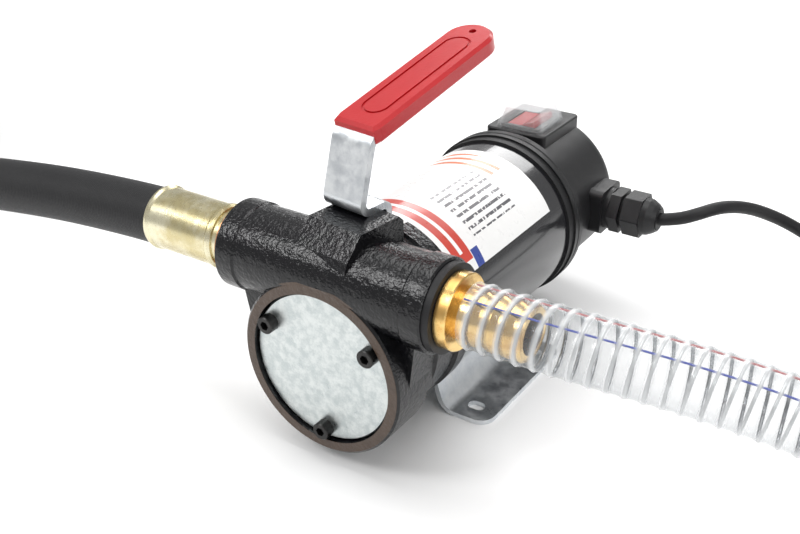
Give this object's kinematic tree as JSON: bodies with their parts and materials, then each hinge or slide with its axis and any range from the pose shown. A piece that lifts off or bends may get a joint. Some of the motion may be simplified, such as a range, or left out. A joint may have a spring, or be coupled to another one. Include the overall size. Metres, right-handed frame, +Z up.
{
  "type": "fluid transfer pump",
  "caption": "Electric vane pump on a slotted bracket, with carry handle, rocker switch, clear suction hose, black delivery hose with hand nozzle, and power cable.",
  "frame": {"origin": "on the floor, at the centre of the four foot slots of the bracket", "axes": "+Z up, motor axis along Y with the chamber cover facing -Y, suction port towards +X"},
  "size_m": [1.3062, 0.3625, 0.1784],
  "materials": {
    "cast_paint": "gloss black paint over sand-cast iron",
    "zinc_cover": "galvanised sheet steel",
    "steel": "turned steel",
    "dark_steel": "black oxide steel",
    "zinc_plate": "bright zinc plated steel",
    "yellow_zinc": "yellow passivated zinc plated steel",
    "brass": "turned brass",
    "copper": "copper washer",
    "aluminium": "cast aluminium",
    "black_paint": "satin black paint",
    "black_plastic": "moulded black nylon",
    "red_plastic": "red moulded plastic",
    "red_grip": "dipped red vinyl grip",
    "clear_plastic": "clear soft PVC",
    "clear_hose": "clear PVC hose with steel spiral",
    "rubber": "black rubber",
    "label": "white vinyl label",
    "ferrite": "ferrite magnet",
    "copper_wire": "enamelled copper wire",
    "carbon": "carbon brush"
  },
  "bodies": {
    "pump": {"base_bracket": "zinc_plate", "bracket_screws": "zinc_plate", "brush_holder": "black_plastic", "brush_springs": "zinc_plate", "brushes": "carbon", "cable_coil": "rubber", "cable_tail": "rubber", "chamber_cover": "zinc_cover", "chamber_seal": "rubber", "cover_gasket": "rubber", "cover_screws": "dark_steel", "delivery_coil": "rubber", "delivery_hose": "rubber", "delivery_tail": "rubber", "front_bearing": "steel", "gland_body": "black_plastic", "gland_nut": "black_plastic", "gland_seal": "rubber", "handle_bolt": "dark_steel", "handle_grip": "red_grip", "handle_strap": "zinc_plate", "inlet_barb": "brass", "inlet_gasket": "rubber", "magnets": "ferrite", "motor_can": "black_paint", "motor_label": "label", "nozzle_body": "aluminium", "nozzle_ferrule": "yellow_zinc", "nozzle_pin": "steel", "nozzle_spout": "aluminium", "outlet_ferrule": "yellow_zinc", "outlet_stem": "yellow_zinc", "outlet_washer": "copper", "plug_body": "black_plastic", "plug_contacts": "zinc_plate", "power_cable": "rubber", "pump_casting": "cast_paint", "rear_bearing": "steel", "rear_bell": "aluminium", "rear_cover": "black_plastic", "rear_cover_screws": "zinc_plate", "shaft_seal": "rubber", "strainer_basket": "steel", "strainer_body": "black_plastic", "suction_coil": "clear_hose", "suction_hose": "clear_hose", "switch_body": "black_plastic", "switch_hood": "clear_plastic"},
    "spindle": {"rotor": "steel", "vanes": "black_plastic", "motor_shaft": "steel", "armature_core": "steel", "armature_windings": "copper_wire", "commutator": "copper"},
    "rocker": {"rocker": "red_plastic"},
    "lever": {"nozzle_lever": "steel"}
  },
  "joints": [
    {"name": "motor_spin", "type": "hinge", "parent": "pump", "child": "spindle", "pos_m": [0, 0, 0.0607], "axis": [0, 1, 0], "continuous": true},
    {"name": "rocker_tilt", "type": "hinge", "parent": "pump", "child": "rocker", "pos_m": [0, 0.0927, 0.1053], "axis": [0, 1, 0], "range_deg": [0, 24]},
    {"name": "lever_squeeze", "type": "hinge", "parent": "pump", "child": "lever", "pos_m": [-0.466, -0.129, 0.062], "axis": [0, 0, 1], "range_deg": [0, 8], "stiffness_Nm_per_rad": 0.5, "springref_deg": -8.59}
  ]
}
